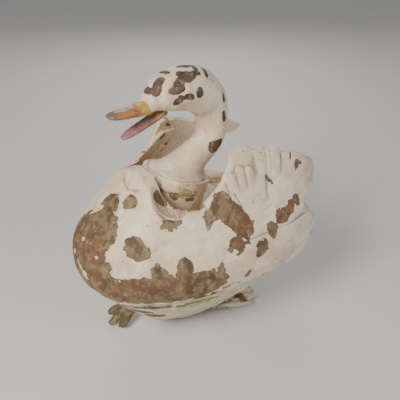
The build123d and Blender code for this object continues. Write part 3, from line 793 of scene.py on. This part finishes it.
# %% [markdown]
# Where thick paint lets go, its edge stands up and small crumbs of it stay behind. They
# repeat by the hundred, so Geometry Nodes scatter them: points are spread over the skin
# with a fixed seed, only where a stored share says so, and each carries a tiny flat
# chip turned to the surface.

# %% A node tree that scatters paint crumbs
def crumb_tree():
    tree = bpy.data.node_groups.new("paint_crumbs", "GeometryNodeTree")
    face = tree.interface
    face.new_socket("Skin", in_out="INPUT", socket_type="NodeSocketGeometry")
    for name, value in (("Spacing", 0.003), ("Density", 60000.0), ("Chip size", 0.001)):
        face.new_socket(name, in_out="INPUT", socket_type="NodeSocketFloat").default_value = value
    face.new_socket("Seed", in_out="INPUT", socket_type="NodeSocketInt").default_value = 7
    face.new_socket("Paint", in_out="INPUT", socket_type="NodeSocketMaterial")
    face.new_socket("Crumbs", in_out="OUTPUT", socket_type="NodeSocketGeometry")
    new, link = tree.nodes.new, tree.links.new
    given, result = new("NodeGroupInput"), new("NodeGroupOutput")
    share = new("GeometryNodeInputNamedAttribute")
    share.data_type = "FLOAT"
    share.inputs["Name"].default_value = "crumbly"
    scatter = new("GeometryNodeDistributePointsOnFaces")
    scatter.distribute_method = "POISSON"
    link(given.outputs["Skin"], scatter.inputs["Mesh"])
    link(given.outputs["Spacing"], scatter.inputs["Distance Min"])
    link(given.outputs["Density"], scatter.inputs["Density Max"])
    link(share.outputs["Attribute"], scatter.inputs["Density Factor"])
    link(given.outputs["Seed"], scatter.inputs["Seed"])
    chip = new("GeometryNodeMeshIcoSphere")
    chip.inputs["Subdivisions"].default_value = 1
    link(given.outputs["Chip size"], chip.inputs["Radius"])
    flat = new("GeometryNodeTransform")
    flat.inputs["Scale"].default_value = (1.0, 0.7, 0.38)
    link(chip.outputs["Mesh"], flat.inputs["Geometry"])
    size = new("FunctionNodeRandomValue")
    size.data_type = "FLOAT_VECTOR"
    size.inputs["Min"].default_value = (0.5, 0.5, 0.5)
    size.inputs["Max"].default_value = (1.5, 1.3, 1.1)
    link(given.outputs["Seed"], size.inputs["Seed"])
    place = new("GeometryNodeInstanceOnPoints")
    link(scatter.outputs["Points"], place.inputs["Points"])
    link(flat.outputs["Geometry"], place.inputs["Instance"])
    link(scatter.outputs["Rotation"], place.inputs["Rotation"])
    link(size.outputs["Value"], place.inputs["Scale"])
    real, coat = new("GeometryNodeRealizeInstances"), new("GeometryNodeSetMaterial")
    link(place.outputs["Instances"], real.inputs["Geometry"])
    link(real.outputs["Geometry"], coat.inputs["Geometry"])
    link(given.outputs["Paint"], coat.inputs["Material"])
    link(coat.outputs["Geometry"], result.inputs["Crumbs"])
    return tree


crumbs_nodes = crumb_tree()


def crumbs_on(piece, name, material, seed, chip=1.0, spacing=2.6):
    """A plain mesh of crumbs scattered along the edges of the flakes of a piece."""
    mesh = piece.data
    depth = np.empty(len(mesh.vertices), np.float32)
    mesh.attributes["flaked"].data.foreach_get("value", depth)
    share = 0.5 * np.exp(-((depth - 0.9) / 0.8) ** 2) + 0.02 * (depth > 1.5)
    put_attribute(mesh, "crumbly", np.clip(share, 0, 1))
    carrier = bpy.data.objects.new(name, mesh.copy())
    bpy.context.scene.collection.objects.link(carrier)
    scatter = carrier.modifiers.new("crumbs", "NODES")
    scatter.node_group = crumbs_nodes
    socket = {item.name: item.identifier for item in crumbs_nodes.interface.items_tree
              if item.in_out == "INPUT"}
    for label, value in (("Spacing", spacing * MM), ("Density", 90000.0), ("Chip size", chip * MM),
                         ("Seed", seed), ("Paint", material)):
        scatter[socket[label]] = value
    mesh = finished_mesh(carrier)
    print(name, "triangles", sum(len(face.vertices) - 2 for face in mesh.polygons))
    return carrier


# %% [markdown]
# Every finish below is worked out in the shader from the object's own coordinates and
# the stored amounts, so it is crisp at any distance. A few short helpers keep each
# finish readable: a noise, a cloud of cells, a blend of two colours, a sum.

# %% Short helpers for shaders
class Finish:
    """A material with its shader, its object coordinates and small node helpers."""

    def __init__(self, name, metallic=0.0, specular=0.5):
        self.material = bpy.data.materials.new(name)
        self.material.use_nodes = True
        self.tree = self.material.node_tree
        self.shader = self.tree.nodes["Principled BSDF"]
        self.shader.inputs["Metallic"].default_value = metallic
        self.shader.inputs["Specular IOR Level"].default_value = specular
        self.place = self.tree.nodes.new("ShaderNodeTexCoord").outputs["Object"]

    def wire(self, value, socket):
        if isinstance(value, bpy.types.NodeSocket):
            self.tree.links.new(value, socket)
        elif isinstance(value, tuple):
            socket.default_value = (*value, 1.0) if len(value) == 3 else value
        else:
            socket.default_value = value

    def noise(self, per_metre, detail=4.0, rough=0.55, stretch=None):
        place = self.place
        if stretch:
            turn = self.tree.nodes.new("ShaderNodeMapping")
            turn.inputs["Scale"].default_value = stretch
            self.tree.links.new(place, turn.inputs["Vector"])
            place = turn.outputs["Vector"]
        node = self.tree.nodes.new("ShaderNodeTexNoise")
        self.tree.links.new(place, node.inputs["Vector"])
        node.inputs["Scale"].default_value = per_metre
        node.inputs["Detail"].default_value = detail
        node.inputs["Roughness"].default_value = rough
        return node.outputs["Fac"]

    def cells(self, per_metre, feature="F1"):
        node = self.tree.nodes.new("ShaderNodeTexVoronoi")
        node.feature = feature
        self.tree.links.new(self.place, node.inputs["Vector"])
        node.inputs["Scale"].default_value = per_metre
        return node.outputs["Distance"]

    def stored(self, name):
        node = self.tree.nodes.new("ShaderNodeAttribute")
        node.attribute_name = name
        return node.outputs["Fac"]

    def maths(self, kind, first, second):
        node = self.tree.nodes.new("ShaderNodeMath")
        node.operation = kind
        self.wire(first, node.inputs[0])
        self.wire(second, node.inputs[1])
        return node.outputs[0]

    def times(self, first, second):
        return self.maths("MULTIPLY", first, second)

    def plus(self, first, second):
        return self.maths("ADD", first, second)

    def minus(self, first, second):
        return self.maths("SUBTRACT", first, second)

    def most(self, first, second):
        return self.maths("MAXIMUM", first, second)

    def between(self, value, low, high, to_low=0.0, to_high=1.0):
        node = self.tree.nodes.new("ShaderNodeMapRange")
        node.interpolation_type = "SMOOTHSTEP"
        for name, number in (("Value", value), ("From Min", low), ("From Max", high),
                             ("To Min", to_low), ("To Max", to_high)):
            self.wire(number, node.inputs[name])
        return node.outputs["Result"]

    def blend(self, share, first, second):
        node = self.tree.nodes.new("ShaderNodeMix")
        node.data_type = "RGBA"
        self.wire(share, node.inputs[0])
        self.wire(first, node.inputs[6])
        self.wire(second, node.inputs[7])
        return node.outputs[2]

    def finish(self, colour, roughness=None, height=None, step=0.5):
        self.wire(colour, self.shader.inputs["Base Color"])
        if roughness is not None:
            self.wire(roughness, self.shader.inputs["Roughness"])
        if height is not None:
            bump = self.tree.nodes.new("ShaderNodeBump")
            bump.inputs["Distance"].default_value = step * MM
            self.tree.links.new(height, bump.inputs["Height"])
            self.tree.links.new(bump.outputs["Normal"], self.shader.inputs["Normal"])
        return self.material


# %% [markdown]
# The main finish is old cream enamel over a brown casting. From the outside in: painted shade
# and dirt in the hollows, ochre stains, the enamel with its pink cast and hairline cracks, a
# stained broken edge, then the bare casting, mottled brown and rust with enamel specks.
# The stored depth inside a flake decides between paint and metal, and fine noise is
# added to it first, so that the edge is as ragged as a real chip.

# %% Flaked enamel
ROSE, CHALK = (0.70, 0.50, 0.37), (0.92, 0.82, 0.64)
# The dark brown below is dirt in the crazing cracks and painted shade in the hollows.
OCHRE, DIRT_AND_SHADE = (0.44, 0.28, 0.11), (0.20, 0.125, 0.075)
ALGAE, MOSS = (0.42, 0.45, 0.30), (0.30, 0.29, 0.07)
STAINED_EDGE, EDGE_SHADE, DRY_SCALE = (0.62, 0.47, 0.30), (0.05, 0.033, 0.022), (0.36, 0.27, 0.16)


def flaked_enamel(name, bare=(0.25, 0.175, 0.095), dark=(0.105, 0.07, 0.036), rust=(0.17, 0.075, 0.034),
                  tint=(0.85, 0.70, 0.50), green=0.0, fine=1.0):
    f = Finish(name, specular=0.42)
    edge = f.times(f.minus(f.noise(150, 4, 0.5), 0.5), 3.4 * fine)
    edge = f.plus(edge, f.times(f.minus(f.noise(520, 3, 0.6), 0.5), 1.1 * fine))
    depth = f.plus(f.stored("flaked"), edge)
    pits = f.times(f.between(f.cells(120), 0.10, 0.16, 1, 0), f.between(f.noise(26, 2), 0.60, 0.66))
    bare_share = f.most(f.between(depth, -0.12, 0.12), pits)
    specks = f.times(f.between(f.noise(420, 4, 0.7), 0.66, 0.70), f.between(f.noise(45, 2), 0.50, 0.66))
    bare_share = f.times(bare_share, f.minus(1.0, specks))
    paint = f.blend(f.between(f.noise(13, 3), 0.38, 0.66), tint, ROSE)
    paint = f.blend(f.between(f.noise(38, 4, 0.65), 0.46, 0.72), paint, CHALK)
    stains = f.times(f.between(f.noise(30, 6, 0.7), 0.56, 0.72), 0.35)
    paint = f.blend(stains, paint, OCHRE)
    if green:
        paint = f.blend(f.times(f.between(f.noise(55, 5, 0.7), 0.42, 0.62), green), paint, ALGAE)
    near = f.times(f.between(depth, -2.4, -0.1), 0.45)
    paint = f.blend(near, paint, STAINED_EDGE)
    # Painted shade, partly dirt: the paint darkens where the surface lies in a hollow.
    shade_and_grime = f.between(f.plus(f.stored("hollow"), f.times(f.noise(90, 3), 0.06)), 0.05, 0.42)
    paint = f.blend(f.times(shade_and_grime, 0.6), paint, DIRT_AND_SHADE)
    crazing = f.between(f.cells(95, "DISTANCE_TO_EDGE"), 0.0, 0.035, 1, 0)
    cracks = f.times(crazing, f.between(f.noise(18, 3), 0.5, 0.62))
    paint = f.blend(f.times(cracks, 0.4), paint, DIRT_AND_SHADE)
    specked = f.times(f.between(f.noise(310, 2, 0.5), 0.72, 0.76), 0.8)
    paint = f.blend(specked, paint, dark)
    metal = f.blend(f.between(f.noise(60, 6, 0.7), 0.42, 0.60), bare, dark)
    metal = f.blend(f.between(f.noise(110, 5, 0.7, (1, 1, 0.5)), 0.50, 0.68), metal, DRY_SCALE)
    rust_share = f.plus(f.times(f.stored("rusty"), 0.8), 0.25)
    reddened = f.times(rust_share, f.between(f.noise(85, 5, 0.7), 0.38, 0.62))
    metal = f.blend(reddened, metal, rust)
    metal = f.blend(f.times(f.between(depth, 0.1, 1.2, 1, 0), 0.6), metal, EDGE_SHADE)
    colour = f.blend(bare_share, paint, metal)
    moss = f.times(f.stored("mossy"), f.between(f.noise(240, 4, 0.7), 0.35, 0.55))
    colour = f.blend(moss, colour, MOSS)
    gloss = f.plus(f.between(f.noise(75, 4), 0.3, 0.7, 0.34, 0.52), f.times(bare_share, 0.28))
    height = f.minus(f.times(f.noise(160, 5, 0.6), 0.35), bare_share)
    height = f.plus(height, f.times(f.times(f.noise(900, 3, 0.7), bare_share), 0.5))
    height = f.minus(height, f.times(cracks, 0.3))
    return f.finish(colour, gloss, height, 0.55)


body_enamel = flaked_enamel("body enamel")
wing_enamel = flaked_enamel("wing enamel", rust=(0.19, 0.075, 0.04), tint=(0.85, 0.69, 0.52))
head_enamel = flaked_enamel("head enamel", bare=(0.115, 0.075, 0.062), dark=(0.05, 0.036, 0.034),
                            rust=(0.16, 0.085, 0.05), tint=(0.84, 0.70, 0.52), fine=0.55)
hull_enamel = flaked_enamel("hull enamel", bare=(0.16, 0.13, 0.085), tint=(0.66, 0.57, 0.40), green=0.7)
# The feet take darker paint and darker bare metal than the body: this darkening is painted shade. The green
# on them is algae.
shade_darkened_foot_enamel = flaked_enamel("feet enamel darkened as painted shade", bare=(0.15, 0.12, 0.085), tint=(0.60, 0.53, 0.38),
                            green=0.55, fine=0.7)
print("nodes in the body enamel:", len(body_enamel.node_tree.nodes))

# %% [markdown]
# The bill has its own thin paints: an ochre root, an orange or mauve middle, a worn ridge
# and a dark tip, each driven by an amount stored on the mesh. The metal parts below are
# mostly hidden, so one function with two colours and a grain serves them all.

# %% Bill, eye and hardware finishes
def bill_finish(name, main, worn, root, ridge, tip):
    f = Finish(name, specular=0.5)
    colour = f.blend(f.between(f.noise(90, 5, 0.7), 0.42, 0.62), main, worn)
    colour = f.blend(f.times(f.stored("ridge"), f.between(f.noise(70, 4), 0.3, 0.6)), colour, ridge)
    colour = f.blend(f.stored("root"), colour, root)
    colour = f.blend(f.times(f.stored("tip"), f.between(f.noise(160, 3), 0.25, 0.5)), colour, tip)
    scuffs = f.between(f.noise(260, 4, 0.7, (1, 0.25, 1)), 0.64, 0.70)
    colour = f.blend(f.times(scuffs, 0.7), colour, (0.10, 0.07, 0.045))
    # Painted shade, partly dirt: the bill darkens where its surface lies in a hollow.
    shade_and_grime = f.between(f.stored("hollow"), 0.03, 0.30)
    colour = f.blend(f.times(shade_and_grime, 0.75), colour, (0.09, 0.05, 0.03))
    gloss = f.between(f.noise(120, 4), 0.3, 0.7, 0.26, 0.46)
    height = f.minus(f.times(f.noise(420, 4, 0.6), 0.5), f.times(scuffs, 0.6))
    return f.finish(colour, gloss, height, 0.25)


orange_bill = bill_finish("orange bill", (0.47, 0.20, 0.055), (0.31, 0.12, 0.04), (0.48, 0.33, 0.07),
                          (0.36, 0.19, 0.10), (0.19, 0.13, 0.09))
mauve_bill = bill_finish("mauve bill", (0.29, 0.135, 0.12), (0.19, 0.085, 0.075), (0.42, 0.26, 0.10),
                         (0.42, 0.25, 0.21), (0.28, 0.19, 0.17))


def eye_finish():
    f = Finish("old eye", specular=0.5)
    pupil = f.blend(f.between(f.noise(260, 4, 0.7), 0.35, 0.65), (0.14, 0.085, 0.09), (0.24, 0.16, 0.16))
    rim = f.blend(f.between(f.noise(320, 3), 0.4, 0.6), (0.22, 0.17, 0.075), (0.085, 0.06, 0.035))
    return f.finish(f.blend(f.stored("rim"), pupil, rim), f.between(f.noise(200, 3), 0.3, 0.7, 0.28, 0.5),
                    f.noise(520, 3), 0.2)


def metal_finish(name, bright, dull, metallic, low, high, grain=260.0, stretch=None):
    f = Finish(name, metallic=metallic)
    patchy = f.between(f.noise(grain * 0.4, 5, 0.7), 0.38, 0.62)
    speck = f.between(f.noise(grain * 2.2, 3, 0.6, stretch), 0.45, 0.7)
    colour = f.blend(f.times(speck, 0.5), f.blend(patchy, bright, dull), dull)
    gloss = f.between(f.noise(grain, 4), 0.3, 0.7, low, high)
    return f.finish(colour, gloss, f.noise(grain * 2, 4, 0.6, stretch), 0.12)


old_eye = eye_finish()
rusted_iron = metal_finish("rusted iron", (0.22, 0.12, 0.07), (0.10, 0.055, 0.035), 0.25, 0.62, 0.85, 140)
turned_steel = metal_finish("turned steel", (0.50, 0.48, 0.45), (0.30, 0.27, 0.24), 0.9, 0.3, 0.5, 300,
                            (1, 1, 8))
dull_brass = metal_finish("dull brass", (0.52, 0.37, 0.13), (0.26, 0.17, 0.07), 0.85, 0.32, 0.55)
cast_bracket = metal_finish("cast bracket", (0.34, 0.30, 0.23), (0.17, 0.14, 0.10), 0.35, 0.5, 0.75)
black_rubber = metal_finish("black rubber", (0.035, 0.034, 0.032), (0.06, 0.055, 0.05), 0.0, 0.6, 0.8, 400)
crumb_paint = metal_finish("paint crumbs", (0.62, 0.48, 0.33), (0.32, 0.23, 0.14), 0.0, 0.5, 0.7, 90)

# %% [markdown]
# Now each piece gets its finish, says which moving body it rides on, and names the CAD
# node that it stands for. The pieces of hardware stay as the CAD made them and take
# only a finish.

# %% Dress every piece, and tie it to its body and its CAD node
DRESSED = [
    (body_top, "root", ("upper_body",), "cast_body", body_enamel),
    (body_bottom, "root", ("lower_hull",), "cast_body", hull_enamel),
    (left_wing, "root", ("left_wing",), "cast_body", wing_enamel),
    (right_wing, "root", ("right_wing",), "cast_body", wing_enamel),
    (tail, "root", ("tail",), "cast_body", wing_enamel),
    (neck, "neck", ("neck",), "cast_body", head_enamel),
    (head, "neck", ("head",), "cast_body", head_enamel),
    (upper_bill, "neck", ("upper_bill",), "bill_orange", orange_bill),
    (lower_bill, "jaw", ("lower_bill",), "bill_mauve", mauve_bill),
    (eyes[0], "neck", ("left_eye",), "eye_metal", old_eye),
    (eyes[1], "neck", ("right_eye",), "eye_metal", old_eye),
    (left_foot, "left_foot", ("left_foot",), "foot_casting", shade_darkened_foot_enamel),
    (right_foot, "right_foot", ("right_foot",), "foot_casting", shade_darkened_foot_enamel),
    (crumbs_on(body_top, "body_crumbs", crumb_paint, 3), "root", (), "cast_body", None),
    (crumbs_on(left_wing, "left_wing_crumbs", crumb_paint, 4, 0.8), "root", (), "cast_body", None),
    (crumbs_on(right_wing, "right_wing_crumbs", crumb_paint, 5, 0.8), "root", (), "cast_body", None),
    (crumbs_on(body_bottom, "hull_crumbs", crumb_paint, 6, 0.9), "root", (), "cast_body", None),
    (crumbs_on(head, "head_crumbs", crumb_paint, 8, 0.45, 2.0), "neck", (), "cast_body", None),
]
for piece, rides_on, stands_for, slot, material in DRESSED:
    if material:
        piece.data.materials.clear()
        piece.data.materials.append(material)
    piece.data.shade_smooth()
    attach(piece, rides_on)
    if stands_for:
        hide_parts(*stands_for)

HARDWARE = {
    "iron_keel": rusted_iron, "gasket_rubber": black_rubber, "brass": dull_brass,
    "steel": turned_steel, "bracket_casting": cast_bracket, "cast_body": body_enamel,
    "bill_orange": orange_bill, "bill_mauve": mauve_bill, "eye_metal": old_eye, "foot_casting": shade_darkened_foot_enamel,
}
for row in frame["record"]["subparts"]:
    node = frame["nodes"][row["node"]]
    node.data.materials.clear()
    node.data.materials.append(HARDWARE[row["material_slot"]])
print("pieces dressed:", len(DRESSED), "and CAD nodes:", len(frame["nodes"]))

# %% [markdown]
# The set is a plain pale floor under soft light: one large lamp high on the left of
# the camera, a weaker one from the other side, and a low one behind to lift the edges.

# %% Floor, light and camera
def build_floor():
    shape = bmesh.new()
    bmesh.ops.create_grid(shape, x_segments=8, y_segments=8, size=6.0)
    mesh = bpy.data.meshes.new("floor")
    shape.to_mesh(mesh)
    shape.free()
    floor = bpy.data.objects.new("floor", mesh)
    bpy.context.scene.collection.objects.link(floor)
    f = Finish("pale floor")
    mesh.materials.append(f.finish(f.blend(f.noise(3, 3), (0.70, 0.69, 0.67), (0.74, 0.73, 0.71)),
                                   f.between(f.noise(40, 3), 0.3, 0.7, 0.55, 0.65), f.noise(300, 2), 0.05))


def add_lamp(name, place, aim, size, power, colour):
    lamp = bpy.data.lights.new(name, "AREA")
    lamp.shape, lamp.size, lamp.energy, lamp.color = "DISK", size, power, colour
    holder = bpy.data.objects.new(name, lamp)
    holder.location = place
    holder.rotation_euler = (Vector(aim) - Vector(place)).to_track_quat("-Z", "Y").to_euler()
    bpy.context.scene.collection.objects.link(holder)


build_floor()
add_lamp("soft key", (0.50, -1.5, 1.35), (0, 0, 0.2), 0.8, 36, (1.0, 0.94, 0.84))
add_lamp("side fill", (1.6, 0.5, 1.0), (0, 0, 0.2), 1.4, 9, (0.92, 0.95, 1.0))
add_lamp("far rim", (-1.4, 0.9, 1.1), (0, 0, 0.2), 1.0, 9, (1.0, 0.97, 0.93))
world = bpy.data.worlds.new("studio")
world.use_nodes = True
world.node_tree.nodes["Background"].inputs["Color"].default_value = (0.93, 0.94, 0.96, 1)
world.node_tree.nodes["Background"].inputs["Strength"].default_value = 0.30
bpy.context.scene.world = world

AROUND, ABOVE, DISTANCE, HALF_VIEW = math.radians(55), math.radians(30), 0.879, math.radians(20)
AIM = Vector((0, (10 + SHIFT) * MM, 0.210))
back = Vector((math.sin(AROUND) * math.cos(ABOVE), -math.cos(AROUND) * math.cos(ABOVE), math.sin(ABOVE)))
camera = bpy.data.objects.new("camera", bpy.data.cameras.new("camera"))
camera.data.lens = camera.data.sensor_width / 2 / math.tan(HALF_VIEW)
camera.location = AIM + back * DISTANCE
camera.rotation_euler = (-back).to_track_quat("-Z", "Y").to_euler()
bpy.context.scene.collection.objects.link(camera)
bpy.context.scene.camera = camera
